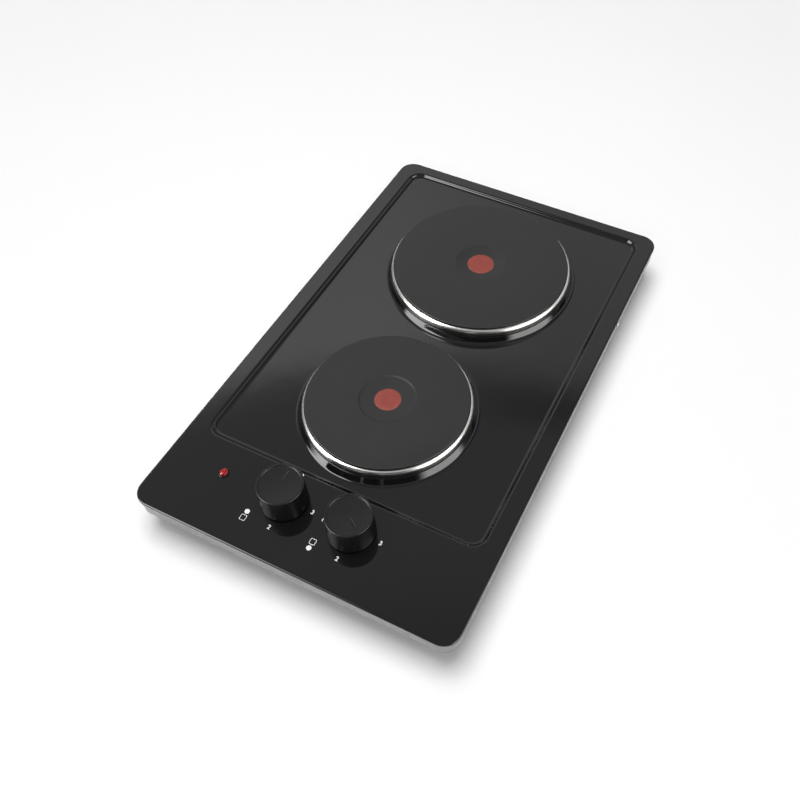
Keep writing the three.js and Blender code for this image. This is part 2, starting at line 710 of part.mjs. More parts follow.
const LEADS = {
  supply_lead: [
    [GLAND.x, BLOCK_Y - 12, 10], [64, 170, 5], [108, 100, 4], [112, 0, 4], [100, -110, 4], [72, -150, 8],
    [KNOB_X + 8, -168, 24], [KNOB_X + 8, KNOB_Y + SWITCH.depth / 2 + 0.4, 24],
  ],
  bridge_lead: [
    [switchSide - KNOB_X, KNOB_Y, 24], [-6, KNOB_Y - 1, 22], [6, KNOB_Y - 1, 22], [KNOB_X - switchSide, KNOB_Y, 24],
  ],
  rear_plate_lead: [
    [-KNOB_X - switchSide, KNOB_Y + 4, 30], [-64, -188, 22], [-100, -150, 8], [-112, -60, 4], [-106, 30, 5],
    [-70, 70, 18], plateEnd(0, -1),
  ],
  front_plate_lead: [
    [KNOB_X + switchSide, KNOB_Y + 4, 30], [66, -188, 24], [78, -150, 20], [52, -122, 28], plateEnd(1, 1),
  ],
  lamp_lead: [
    [LAMP.x, LAMP.y, 26.6], [LAMP.x, LAMP.y, 20], [-82, -206, 14], [-64, -206, 18],
    [-KNOB_X - switchSide, KNOB_Y - 7, 24],
  ],
};

Object.entries(LEADS).forEach(([name, points]) => {
  place(hob, name, lead(points, name === 'supply_lead' ? 2.4 : 1.6), sleeve);
});

export default hob;
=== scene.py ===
import json
import math

import bmesh
import bpy
from mathutils import Matrix, Vector


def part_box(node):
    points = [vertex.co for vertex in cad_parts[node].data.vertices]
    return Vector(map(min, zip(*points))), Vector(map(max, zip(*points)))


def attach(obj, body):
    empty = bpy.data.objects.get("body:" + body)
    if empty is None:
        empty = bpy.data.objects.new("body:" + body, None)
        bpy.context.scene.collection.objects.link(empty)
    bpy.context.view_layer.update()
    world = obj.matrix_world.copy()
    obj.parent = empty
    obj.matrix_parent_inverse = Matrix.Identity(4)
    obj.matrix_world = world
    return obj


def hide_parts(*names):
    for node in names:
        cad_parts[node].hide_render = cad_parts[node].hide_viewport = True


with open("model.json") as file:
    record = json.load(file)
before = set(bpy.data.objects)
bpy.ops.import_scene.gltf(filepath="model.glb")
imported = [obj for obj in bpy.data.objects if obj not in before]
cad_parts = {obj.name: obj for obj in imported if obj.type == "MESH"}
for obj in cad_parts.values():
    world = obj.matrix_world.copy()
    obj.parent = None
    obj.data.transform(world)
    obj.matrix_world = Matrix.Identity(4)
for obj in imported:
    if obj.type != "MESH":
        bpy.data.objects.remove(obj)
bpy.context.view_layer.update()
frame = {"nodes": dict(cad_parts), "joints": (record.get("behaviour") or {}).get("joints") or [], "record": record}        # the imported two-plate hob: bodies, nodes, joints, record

MM = 0.001

# ---- sizes, in metres

JOINTS = {joint["name"]: joint for joint in frame["joints"]}
TOP_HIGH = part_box("hob_top")[1]
PAN_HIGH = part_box("body_pan")[1]
HALF_X, HALF_Y = TOP_HIGH.x, TOP_HIGH.y
RIM_Z = JOINTS["left_knob_turn"]["pos_m"][2]
BOSS_Z = TOP_HIGH.z

CORNER = 16 * MM
LIP = 2 * MM
EDGE = 1.5 * MM
SHEET = 0.9 * MM
WELL = {"front": -170 * MM, "back": 243 * MM, "half": 139.5 * MM, "corner": 16 * MM}
WELL_DEPTH = 3.4 * MM
WELL_BENDS = (3.2 * MM, 4.8 * MM)
WELL_SLOPE = 52
WELL_Z = RIM_Z - WELL_DEPTH
BOSS_FOOT = {"rear": 6.9 * MM, "front": 7.7 * MM}
BOSS_SHOULDER = 3.4 * MM
BOSS_OPENING = -3 * MM
BOSS_BEND, BOSS_CREST = 4.4 * MM, 0.7 * MM

SKIRT_INSET = HALF_X - PAN_HIGH.x
SKIRT_Z = 27 * MM
LOWER_INSET = 20 * MM
LOWER_CORNER = 12 * MM

RECESS = {"rear": 25.6 * MM, "front": 27 * MM}
DOT = {"rear": 13.8 * MM, "front": 12.4 * MM}
RECESS_DEPTH = 1.6 * MM
DISH_BEVEL = {"rear": (0.4 * MM, 14), "front": (1.2 * MM, 32)}
MARK_RADIUS = 27.3 * MM
MARK_ANGLES = (90, 182, 274, 361.5)
SHAFT_HOLE = 4.5 * MM
CORNER_STEPS = 16
ROUND_STEPS = 144
SMALL_ROUND_STEPS = 64
SAME_POINT = 1e-6


def centre_of(node):
    low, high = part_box(node)
    return (low + high) / 2


def joint_xy(name):
    return JOINTS[name]["pos_m"][0], JOINTS[name]["pos_m"][1]


# ---- mesh helpers


class Shell:
    """A mesh made of closed loops of points, each joined to the next, with flat fills."""

    def __init__(self):
        self.bm = bmesh.new()

    def loop(self, points):
        return [self.bm.verts.new(point) for point in points]

    def join(self, first, second):
        for k in range(len(first)):
            n = (k + 1) % len(first)
            self.bm.faces.new((first[k], first[n], second[n], second[k]))

    def loft(self, loops):
        """Joins the loops in order and returns the first and last of them."""
        made = [self.loop(points) for points in loops]
        for first, second in zip(made, made[1:]):
            self.join(first, second)
        return made[0], made[-1]

    def fill(self, loops, up=True):
        """A flat face with holes: the first loop is its outside and the others are holes."""
        edges = []
        for loop in loops:
            for k in range(len(loop)):
                pair = (loop[k], loop[(k + 1) % len(loop)])
                edges.append(self.bm.edges.get(pair) or self.bm.edges.new(pair))
        made = bmesh.ops.triangle_fill(self.bm, use_beauty=True, edges=edges)
        for face in made["geom"]:
            if isinstance(face, bmesh.types.BMFace):
                face.normal_update()
                if (face.normal.z > 0) != up:
                    face.normal_flip()

    def mesh(self, name, outward=True):
        """The finished mesh, with its faces turned outwards unless they are right as made."""
        if outward:
            bmesh.ops.recalc_face_normals(self.bm, faces=self.bm.faces)
        made = bpy.data.meshes.new(name)
        self.bm.to_mesh(made)
        self.bm.free()
        return made


def in_scene(name, data):
    """A new object of the scene that shows the data."""
    made = bpy.data.objects.new(name, data)
    bpy.context.scene.collection.objects.link(made)
    return made


def add(name, mesh, slot, replaced=(), sharp=32, body="root", material=None):
    """A piece of the object: shaded, finished, riding on its body and standing for CAD nodes."""
    mesh.shade_smooth()
    mesh.set_sharp_from_angle(angle=math.radians(sharp))
    mesh.materials.clear()
    mesh.materials.append(material or FINISHES[slot])
    piece = in_scene(name, mesh)
    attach(piece, body)
    if replaced:
        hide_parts(*replaced)


def worked(mesh, *steps):
    """The mesh after modifiers: each step is (type, {setting: value})."""
    holder = in_scene("work", mesh)
    for kind, settings in steps:
        modifier = holder.modifiers.new(kind, kind)
        for setting, value in settings.items():
            setattr(modifier, setting, value)
    depsgraph = bpy.context.evaluated_depsgraph_get()
    made = bpy.data.meshes.new_from_object(holder.evaluated_get(depsgraph))
    bpy.data.objects.remove(holder)
    return made


def thickened(mesh, thickness):
    return worked(mesh, ("SOLIDIFY", {"thickness": thickness, "offset": -1, "use_even_offset": True}))


def cut(mesh, *cutters):
    """The mesh with the cutters' volume taken away."""
    for cutter in cutters:
        tool = in_scene("tool", cutter)
        settings = {"operation": "DIFFERENCE", "solver": "EXACT", "object": tool}
        mesh = worked(mesh, ("BOOLEAN", settings))
        bpy.data.objects.remove(tool)
    return mesh


def rounded(half_x, half_y, radius, z, centre=(0, 0), steps=CORNER_STEPS):
    """Points counter-clockwise round a rectangle with round corners."""
    points = []
    for quarter, (side_x, side_y) in enumerate(((1, 1), (-1, 1), (-1, -1), (1, -1))):
        for k in range(steps + 1):
            angle = (quarter + k / steps) * math.pi / 2
            x = side_x * (half_x - radius) + radius * math.cos(angle)
            y = side_y * (half_y - radius) + radius * math.sin(angle)
            points.append((centre[0] + x, centre[1] + y, z))
    return points


def ring(radius, z, centre=(0, 0), steps=ROUND_STEPS):
    points = []
    for k in range(steps):
        angle = 2 * math.pi * k / steps
        x, y = radius * math.cos(angle), radius * math.sin(angle)
        points.append((centre[0] + x, centre[1] + y, z))
    return points


def arc(centre, radius, start, end, steps=6):
    """(radius, height) points along an arc, from angle start to end in degrees above outwards."""
    points = []
    for k in range(steps + 1):
        angle = math.radians(start + (end - start) * k / steps)
        points.append((centre[0] + radius * math.cos(angle), centre[1] + radius * math.sin(angle)))
    return points


def turned(profile, steps=ROUND_STEPS, closed=False):
    """A profile of (radius, height) points turned about the Z axis, as a closed body."""
    shell = Shell()
    rows = []
    for radius, height in profile:
        if radius < SAME_POINT:
            rows.append([shell.bm.verts.new((0, 0, height))])
        else:
            rows.append(shell.loop(ring(radius, height, steps=steps)))
    pairs = list(zip(rows, rows[1:]))
    if closed:
        pairs.append((rows[-1], rows[0]))
    for first, second in pairs:
        if len(first) > 1 and len(second) > 1:
            shell.join(first, second)
            continue
        tip, rim = (first[0], second) if len(first) == 1 else (second[0], first)
        for k in range(len(rim)):
            shell.bm.faces.new((rim[k], rim[(k + 1) % len(rim)], tip))
    return shell.mesh("turned")


def prism(outlines, low, high):
    """An upright solid: the first outline of (x, y) points is its outside, the others are holes."""
    shell = Shell()
    lows = [shell.loop([(x, y, low) for x, y in outline]) for outline in outlines]
    highs = [shell.loop([(x, y, high) for x, y in outline]) for outline in outlines]
    for below, above in zip(lows, highs):
        shell.join(below, above)
    shell.fill(lows, up=False)
    shell.fill(highs)
    return shell.mesh("prism")


def flat_loop(points):
    return [(point[0], point[1]) for point in points]


def capsule(length, width, steps=10):
    """(x, y) points of a slot with round ends that starts at the origin and runs along +Y."""
    half = width / 2
    points = []
    for k in range(steps + 1):
        angle = math.pi * k / steps
        points.append((half * math.cos(angle), length - half + half * math.sin(angle)))
    for k in range(steps + 1):
        angle = math.pi + math.pi * k / steps
        points.append((half * math.cos(angle), half + half * math.sin(angle)))
    return points


def moved(mesh, *matrices):
    for matrix in matrices:
        mesh.transform(matrix)
    return mesh


def shift(x, y, z=0.0):
    return Matrix.Translation((x, y, z))


def turn(degrees, axis="Z"):
    return Matrix.Rotation(math.radians(degrees), 4, axis)


def merged(meshes, name):
    """Several meshes as one, each still its own closed body."""
    gathered = bmesh.new()
    for mesh in meshes:
        gathered.from_mesh(mesh)
    made = bpy.data.meshes.new(name)
    gathered.to_mesh(made)
    gathered.free()
    return made


# ---- finishes


class Nodes:
    """A node tree and short calls that add nodes to it."""

    def __init__(self, owner):
        owner.use_nodes = True
        self.tree = owner.node_tree

    def node(self, kind, **values):
        """A node; values are its properties, or its inputs where it has an input of that name."""
        made = self.tree.nodes.new(kind)
        for name, value in values.items():
            if hasattr(made, name):
                setattr(made, name, value)
            else:
                made.inputs[name.replace("_", " ").title()].default_value = value
        return made

    def link(self, start, end):
        self.tree.links.new(start, end)

    def maths(self, operation, *values):
        made = self.node("ShaderNodeMath", operation=operation)
        for socket, value in zip(made.inputs, values):
            if isinstance(value, (int, float)):
                socket.default_value = value
            else:
                self.link(value, socket)
        return made.outputs["Value"]

    def ramp(self, value, start, end):
        """0 before start, 1 after end, smooth between; start may be above end."""
        made = self.node("ShaderNodeMapRange", from_min=start, from_max=end)
        made.interpolation_type = "SMOOTHSTEP"
        self.link(value, made.inputs["Value"])
        return made.outputs["Result"]

    def axes(self, vector):
        """The X, Y and Z of a vector, by name."""
        made = self.node("ShaderNodeSeparateXYZ")
        self.link(vector, made.inputs["Vector"])
        return made.outputs

    def mixed(self, share, first, second):
        """A blend of two shaders; share 0 gives the first."""
        made = self.node("ShaderNodeMixShader")
        for socket, value in zip(made.inputs, (share, first, second)):
            self.link(value, socket)
        return made.outputs["Shader"]


class Finish(Nodes):
    """A Principled material whose patterns follow the object's own coordinates."""

    SOCKETS = {"ior": "IOR", "specular_ior_level": "Specular IOR Level"}

    def __init__(self, name, colour, roughness, **settings):
        self.material = bpy.data.materials.new(name)
        super().__init__(self.material)
        self.shader = self.tree.nodes["Principled BSDF"]
        settings.update(base_color=(*colour, 1), roughness=roughness)
        for setting, value in settings.items():
            socket = self.SOCKETS.get(setting, setting.replace("_", " ").title())
            self.shader.inputs[socket].default_value = value
        self.place = self.node("ShaderNodeTexCoord").outputs["Object"]

    def moved_place(self, centre, stretch=(1, 1, 1)):
        """Object coordinates measured from a centre, stretched along the axes."""
        mapping = self.node("ShaderNodeMapping", vector_type="TEXTURE")
        mapping.inputs["Location"].default_value = centre
        mapping.inputs["Scale"].default_value = stretch
        self.link(self.place, mapping.inputs["Vector"])
        return mapping.outputs["Vector"]

    def noise(self, scale, detail, place=None):
        made = self.node("ShaderNodeTexNoise", scale=scale, detail=detail, roughness=0.5)
        self.link(place or self.place, made.inputs["Vector"])
        return made.outputs["Fac"]

    def cells(self, scale):
        """The random colour of each cell of a mosaic, as its red, green and blue."""
        made = self.node("ShaderNodeTexVoronoi", scale=scale)
        self.link(self.place, made.inputs["Vector"])
        split = self.node("ShaderNodeSeparateColor")
        self.link(made.outputs["Color"], split.inputs["Color"])
        return split.outputs

    def ranged(self, value, low, high, to_low=0, to_high=1):
        made = self.node("ShaderNodeMapRange", from_min=low, from_max=high, to_min=to_low, to_max=to_high)
        self.link(value, made.inputs["Value"])
        return made.outputs["Result"]

    def blend(self, factor, first, second):
        """A colour between first and second by a factor."""
        made = self.node("ShaderNodeMix", data_type="RGBA")
        sockets = {s.identifier: s for s in made.inputs}
        self.link(factor, sockets["Factor_Float"])
        for key, value in (("A_Color", first), ("B_Color", second)):
            if isinstance(value, tuple):
                sockets[key].default_value = (*value, 1)
            else:
                self.link(value, sockets[key])
        return next(s for s in made.outputs if s.identifier == "Result_Color")

    def colour(self, factor, first, second):
        self.link(self.blend(factor, first, second), self.shader.inputs["Base Color"])
        return self

    def rough(self, value, low, high, to_low, to_high):
        self.link(self.ranged(value, low, high, to_low, to_high), self.shader.inputs["Roughness"])
        return self

    def bump(self, height, distance, after=None):
        made = self.node("ShaderNodeBump", distance=distance, strength=1.0)
        self.link(height, made.inputs["Height"])
        if after is not None:
            self.link(after, made.inputs["Normal"])
        return made.outputs["Normal"]

    def relief(self, normal):
        self.link(normal, self.shader.inputs["Normal"])
        return self


def enamel():
    """Glossy black vitreous enamel: a faint slow ripple, fine orange peel and a trace of dust."""
    made = Finish("enamel_black", (0.0045, 0.0045, 0.005), 0.06, ior=1.5)
    ripple = made.bump(made.noise(38, 1.0), 0.00006)
    peel = made.bump(made.noise(520, 2.0), 0.0000022, after=ripple)
    made.relief(peel)
    dust = made.ranged(made.noise(2600, 3.0), 0.6, 0.85)
    made.rough(made.noise(90, 3.0), 0.3, 0.75, 0.045, 0.085)
    return made.colour(dust, (0.0042, 0.0042, 0.0048), (0.012, 0.012, 0.012)).material


def sheet_steel(name, base, dark, roughness, spangle=150):
    """Zinc-coated sheet: large soft spangles, rolling lines and a satin surface."""
    made = Finish(name, base, roughness, metallic=1.0)
    grain = made.cells(spangle)
    patchy = made.noise(14, 4.0)
    mottled = made.maths("MULTIPLY_ADD", grain["Red"], 0.35, patchy)
    made.colour(made.ranged(mottled, 0.3, 0.95), dark, base)
    made.rough(grain["Green"], 0, 1, roughness - 0.06, roughness + 0.06)
    fine = made.bump(made.noise(900, 3.0), 0.000006)
    rolled = made.noise(500, 2.0, made.moved_place((0, 0, 0), (60, 60, 1)))
    return made.relief(made.bump(rolled, 0.000008, after=fine)).material


def grooves(made, centre, scale, distance):
    """Fine irregular rings round a centre, as a lathe tool leaves them: pattern, relief and axes."""
    axes = made.axes(made.moved_place(centre))
    squares = [made.maths("MULTIPLY", axes[axis], axes[axis]) for axis in "XY"]
    reach = made.maths("SQRT", made.maths("ADD", *squares))
    joined = made.node("ShaderNodeCombineXYZ")
    made.link(reach, joined.inputs["X"])
    made.link(axes["Z"], joined.inputs["Y"])
    lines = made.noise(scale, 2.0, joined.outputs["Vector"])
    return lines, made.bump(lines, distance), axes


def cast_iron(name, centre):
    """Matt black baked coat on turned iron: fine rings round the plate's centre and a sandy grain."""
    made = Finish(name, (0.012, 0.012, 0.012), 0.44)
    sand = made.noise(1500, 4.0)
    cloud = made.noise(26, 4.0)
    ringed = grooves(made, centre, 2400, 0.00007)[1]
    made.relief(made.bump(sand, 0.000025, after=ringed))
    made.rough(cloud, 0.25, 0.75, 0.38, 0.48)
    speck = made.maths("MULTIPLY", made.ranged(sand, 0.35, 0.75), made.ranged(cloud, 0.3, 0.7, 0.4, 1))
    return made.colour(speck, (0.0092, 0.0092, 0.0096), (0.0175, 0.017, 0.017)).material


def red_paint(name, centre):
    """Heat-proof red paint that is slightly chalky and lets the turned rings show."""
    made = Finish(name, (0.24, 0.043, 0.03), 0.6)
    sand = made.noise(1400, 3.0)
    ringed = grooves(made, centre, 2400, 0.00002)[1]
    made.relief(made.bump(sand, 0.00002, after=ringed))
    made.rough(sand, 0.3, 0.7, 0.5, 0.66)
    return made.colour(made.noise(160, 4.0), (0.2, 0.033, 0.023), (0.265, 0.046, 0.032)).material


def stainless(name, centre):
    """Bright rolled stainless: hair lines that run round the ring, and a painted reflection that colours it
    darker and warmer near its foot.
    """
    made = Finish(name, (0.74, 0.73, 0.71), 0.2, metallic=1.0)
    lines, ringed, axes = grooves(made, centre, 4200, 0.0000025)
    made.relief(ringed)
    made.rough(lines, 0.3, 0.7, 0.2, 0.3)
    # painted reflection: the ring is coloured darker and warmer below 8.5 mm over the well floor, fading to
    # its bright colour by 13 mm
    painted_foot_reflection = made.ramp(axes["Z"], 8.5 * MM, 13 * MM)
    return made.colour(painted_foot_reflection, (0.42, 0.4, 0.37), (0.74, 0.73, 0.71)).material


def plated(name, base, warm, roughness):
    """Zinc or spring steel: a bright base with faint warm clouds and fine scratches."""
    made = Finish(name, base, roughness, metallic=1.0)
    made.colour(made.noise(110, 4.0), base, warm)
    made.rough(made.noise(700, 4.0), 0.3, 0.7, roughness - 0.07, roughness + 0.08)
    return made.relief(made.bump(made.noise(1600, 3.0), 0.000006)).material


def moulded(name, low, high, roughness, grain=2600, depth=0.000008, **settings):
    """Moulded or pressed material: a fine grain, and a colour that drifts slightly."""
    made = Finish(name, high, roughness, **settings)
    fine = made.noise(grain, 3.0)
    made.colour(made.noise(70, 3.0), low, high)
    made.rough(fine, 0.3, 0.7, max(roughness - 0.05, 0.03), roughness + 0.06)
    return made.relief(made.bump(fine, depth)).material


def woven(name, low, high):
    """Braided glass-fibre sleeve: two crossed sets of threads."""
    made = Finish(name, high, 0.7, sheen_weight=0.2)
    waves = []
    for degrees in (45, -45):
        mapping = made.node("ShaderNodeMapping")
        mapping.inputs["Rotation"].default_value = (math.radians(degrees), math.radians(degrees), 0)
        made.link(made.place, mapping.inputs["Vector"])
        wave = made.node("ShaderNodeTexWave", scale=380, distortion=0.4)
        made.link(mapping.outputs["Vector"], wave.inputs["Vector"])
        waves.append(wave.outputs["Fac"])
    thread = made.maths("MULTIPLY", *waves)
    made.colour(thread, low, high)
    return made.relief(made.bump(thread, 0.0001)).material


def red_lens():
    """Clear red moulded lens with prisms inside."""
    made = Finish("lens_red", (0.45, 0.012, 0.016), 0.07, ior=1.49, transmission_weight=0.35)
    made.colour(made.cells(700)["Red"], (0.3, 0.006, 0.01), (0.62, 0.02, 0.026))
    return made.relief(made.bump(made.noise(500, 1.0), 0.00002)).material


def white_print():
    """Screen-printed white ink, slightly uneven."""
    made = Finish("print_white", (0.8, 0.8, 0.79), 0.45)
    ink = made.noise(1800, 3.0)
    made.relief(made.bump(ink, 0.000004))
    return made.colour(ink, (0.7, 0.7, 0.69), (0.86, 0.86, 0.85)).material


PLATE_CENTRE = {name: centre_of(f"{name}_plate") for name in ("rear", "front")}


def plate_centre(name):
    """The middle of a plate at the level of its boss, where its finishes are measured from."""
    return PLATE_CENTRE[name].x, PLATE_CENTRE[name].y, WELL_Z


IRON = {name: cast_iron(f"cast_iron_{name}", plate_centre(name)) for name in PLATE_CENTRE}
STEEL_RING = {name: stainless(f"stainless_{name}", plate_centre(name)) for name in PLATE_CENTRE}
RED_DOT = {name: red_paint(f"dot_red_{name}", plate_centre(name)) for name in PLATE_CENTRE}
FINISHES = {
    "enamel_black": enamel(),
    "galvanised": sheet_steel("galvanised", (0.32, 0.32, 0.325), (0.245, 0.245, 0.25), 0.36),
    "zinc_steel": plated("zinc_steel", (0.62, 0.62, 0.6), (0.66, 0.62, 0.52), 0.34),
    "spring_steel": plated("spring_steel", (0.5, 0.5, 0.51), (0.42, 0.43, 0.46), 0.28),
    "heating_wire": plated("heating_wire", (0.3, 0.26, 0.23), (0.16, 0.13, 0.12), 0.5),
    "brass": plated("brass", (0.71, 0.54, 0.24), (0.58, 0.41, 0.18), 0.3),
    "magnesia": moulded("magnesia", (0.52, 0.49, 0.43), (0.66, 0.63, 0.57), 0.9, 900, 0.00006),
    "ceramic": moulded("ceramic", (0.72, 0.7, 0.65), (0.86, 0.84, 0.79), 0.5, 1400, 0.00002),
    "phenolic": moulded("phenolic", (0.02, 0.016, 0.013), (0.045, 0.036, 0.03), 0.4),
    "knob_black": moulded(
        "knob_black", (0.004, 0.004, 0.0044), (0.0065, 0.0065, 0.007), 0.3, 3200, 0.000006,
        specular_ior_level=0.4,
    ),
    "foam": moulded("foam", (0.012, 0.012, 0.012), (0.04, 0.04, 0.04), 0.95, 1500, 0.0002),
    "rubber": moulded("rubber", (0.012, 0.012, 0.012), (0.024, 0.024, 0.024), 0.62, 1200, 0.00002),
    "lead_sleeve": woven("lead_sleeve", (0.4, 0.38, 0.33), (0.78, 0.76, 0.7)),
    "lens_red": red_lens(),
    "print_white": white_print(),
}

# ---- enamelled top


def well_loop(inset, z):
    middle = (WELL["front"] + WELL["back"]) / 2
    half_y = (WELL["back"] - WELL["front"]) / 2
    return rounded(WELL["half"] - inset, half_y - inset, WELL["corner"] - inset, z, (0, middle))


def outline(inset, z):
    return rounded(HALF_X - inset, HALF_Y - inset, max(CORNER - inset, 2 * MM), z)


def pressed_step(steps=9):
    """(inset, height) points down the smooth step from the rim into the well."""
    upper, lower = WELL_BENDS
    slope = math.radians(WELL_SLOPE)
    straight = (WELL_DEPTH - (upper + lower) * (1 - math.cos(slope))) / math.tan(slope)
    run = (upper + lower) * math.sin(slope) + straight
    points = [(-0.4 * MM, RIM_Z)]
    points += arc((0, RIM_Z - upper), upper, 90, 90 - WELL_SLOPE, steps)
    points += arc((run, WELL_Z + lower), lower, 270 - WELL_SLOPE, 270, steps)
    return [*points, (run + 0.4 * MM, WELL_Z)]


def boss_profile(name):
    """(radius, height) points from the well's floor over the boss to its opening."""
    radius = plate_radius(name)
    foot, shoulder = radius + BOSS_FOOT[name], radius + BOSS_SHOULDER
    slope = math.atan2(BOSS_Z - WELL_Z, foot - shoulder)
    bend, crest = BOSS_BEND, BOSS_CREST
    degrees = math.degrees(slope)
    low, high = bend * math.tan(slope / 2), crest * math.tan(slope / 2)
    return [
        (foot + low + 0.4 * MM, WELL_Z),
        *arc((foot + low, WELL_Z + bend), bend, -90, -90 - degrees, 7),
        *arc((shoulder - high, BOSS_Z - crest), crest, 90 - degrees, 90, 7),
        (shoulder - high - 0.4 * MM, BOSS_Z),
        (radius + BOSS_OPENING, BOSS_Z),
        (radius + BOSS_OPENING - 0.4 * MM, BOSS_Z - 0.4 * MM),
        (radius + BOSS_OPENING - 0.4 * MM, BOSS_Z - 1.6 * MM),
    ]


def panel_hole(shell, x, y, radius, steps=48):
    """A round hole in the flat rim with a softened edge; returns its outer loop."""
    lip = 0.5 * MM
    profile = [(radius + lip * 1.6, RIM_Z), (radius + lip, RIM_Z), (radius + lip * 0.3, RIM_Z - lip * 0.3),
               (radius, RIM_Z - lip)]
    return shell.loft([ring(r, z, (x, y), steps) for r, z in profile])[0]


def build_top():
    shell = Shell()
    lip = [
        (0.25 * MM, RIM_Z - LIP),
        (0, RIM_Z - LIP + 0.2 * MM),
        *[(EDGE - dx, RIM_Z - EDGE + dz) for dx, dz in arc((0, 0), EDGE, 0, 90, 9)],
        (EDGE + 0.4 * MM, RIM_Z),
    ]
    rim_edge = shell.loft([outline(inset, z) for inset, z in lip])[1]
    well_top, well_floor = shell.loft([well_loop(inset, z) for inset, z in pressed_step()])
    holes = [panel_hole(shell, *joint_xy(f"{side}_knob_turn"), SHAFT_HOLE) for side in ("left", "right")]
    lamp = centre_of("lamp_lens")
    holes.append(panel_hole(shell, lamp.x, lamp.y, 3.6 * MM))
    shell.fill([rim_edge, well_top, *holes])
    feet = []
    for name, middle in PLATE_CENTRE.items():
        loops = [ring(r, z, (middle.x, middle.y)) for r, z in boss_profile(name)]
        feet.append(shell.loft(loops)[0])
    shell.fill([well_floor, *feet])
    return thickened(shell.mesh("enamel_top", outward=False), SHEET)


def plate_radius(name):
    low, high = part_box(f"{name}_plate")
    return (high.x - low.x) / 2


add("enamel_top", build_top(), "enamel_black", ["hob_top"], sharp=40)

# ---- pan

LEDGE_BEND = ((-1.6, 0), (-1.1, 0.15), (-0.4, 0.6), (0, 1.6))
VENT = {"length": 46 * MM, "width": 5 * MM, "pitch": 12 * MM, "count": 3}
LOWER_X, LOWER_Y = HALF_X - LOWER_INSET, HALF_Y - LOWER_INSET
PAN_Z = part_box("body_pan")[0].z


def lower_loop(inset, z):
    return rounded(LOWER_X - inset, LOWER_Y - inset, max(LOWER_CORNER - inset, 1 * MM), z)


def vent_slot(shell, x, y, z):
    """A slot with round ends in the pan's floor; returns its loop."""
    loops = []
    for narrow, short, rise in ((1, 1, 0), (0.8, 0.985, 0.5 * MM)):
        points = capsule(VENT["length"], VENT["width"])
        start = y - VENT["length"] / 2 * short
        loops.append(shell.loop([(x + px * narrow, start + py * short, z + rise) for px, py in points]))
    shell.join(*loops)
    return loops[0]


def raised_pad(shell, y):
    """A pressed pad in the floor that carries one group of vents; returns its outer loop."""
    depth, run, half_x, half_y = 1.2 * MM, 4 * MM, 30 * MM, 34 * MM
    loops = []
    for k in range(9):
        t = k / 8
        rise = t - math.sin(2 * math.pi * t) / (2 * math.pi)
        inset = run * t
        loops.append(rounded(half_x - inset, half_y - inset, 10 * MM - inset, PAN_Z + depth * rise, (0, y)))
    first, last = shell.loft(loops)
    slots = [
        vent_slot(shell, (k - (VENT["count"] - 1) / 2) * VENT["pitch"], y, PAN_Z + depth)
        for k in range(VENT["count"])
    ]
    shell.fill([last, *slots], up=False)
    return first


def build_pan():
    shell = Shell()
    roll, foot = 1.6 * MM, 2.2 * MM
    skirt = [(SKIRT_INSET, PAN_HIGH.z), (SKIRT_INSET, SKIRT_Z + roll)]
    skirt += [(SKIRT_INSET + roll - dx, SKIRT_Z + roll - dz) for dx, dz in arc((0, 0), roll, 0, 90, 6)][1:]
    upper = [outline(inset, z) for inset, z in skirt]
    ledge = [(inset * MM, SKIRT_Z - drop * MM) for inset, drop in LEDGE_BEND]
    base = [(0, PAN_Z + foot)]
    base += [(foot - dx, PAN_Z + foot - dz) for dx, dz in arc((0, 0), foot, 0, 90, 6)][1:]
    lower = [lower_loop(inset, z) for inset, z in ledge + base]
    last = shell.loft(upper + lower)[1]
    pads = [raised_pad(shell, middle.y) for middle in PLATE_CENTRE.values()]
    shell.fill([last, *pads], up=False)
    bmesh.ops.reverse_faces(shell.bm, faces=[f for f in shell.bm.faces if len(f.verts) == 4])
    pan = thickened(shell.mesh("pan_shell"), SHEET)
    gland = centre_of("cable_gland")
    radius, reach = 7 * MM, 8 * MM
    drill = turned([(0, -reach), (radius, -reach), (radius, reach), (0, reach)], 40)
    return cut(pan, moved(drill, turn(90, "X"), shift(gland.x, LOWER_Y, gland.z)))


add("pan_shell", build_pan(), "galvanised", ["body_pan"], sharp=40)


def build_seal():
    """The soft strip under the ledge, with rounded edges."""
    low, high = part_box("worktop_gasket")
    inset = HALF_X - high.x
    width, tall, soft = 9 * MM, high.z - low.z, 0.7 * MM
    section = []
    corners = ((soft, tall - soft), (soft, soft), (width - soft, soft), (width - soft, tall - soft))
    for quarter, corner in enumerate(corners, 1):
        bend = arc(corner, soft, 90 * quarter, 90 * quarter + 90, 3)
        section += [(inset + x, low.z + z) for x, z in bend]
    shell = Shell()
    first, last = shell.loft([outline(dx, z) for dx, z in section])
    shell.join(last, first)
    return shell.mesh("foam_seal")


add("foam_seal", build_seal(), "foam", ["worktop_gasket"], sharp=60)

# ---- fasteners, springs and gland


SCREW_SHANK = 1.7 * MM


def pan_head_screw(head, height, shank, length):
    """Domed screw along +Z with its head above z = 0 and a crossed recess."""
    dome = [(head, 0.15 * MM), *arc((head - height * 0.75, height * 0.25), height * 0.75, 0, 70, 5)]
    tip = [(0, -length), (shank * 0.5, -length), (shank, -length + shank * 0.6)]
    body = turned([*tip, (shank, 0), (head - 0.15 * MM, 0), *dome, (head * 0.35, height), (0, height)], 40)
    slots = []
    for degrees in (0, 90):
        half, wide = head * 0.58, head * 0.13
        shape = [(-half, -wide), (half, -wide), (half, wide), (-half, wide)]
        slots.append(moved(prism([shape], height * 0.35, height * 2), turn(degrees)))
    return cut(body, *slots)


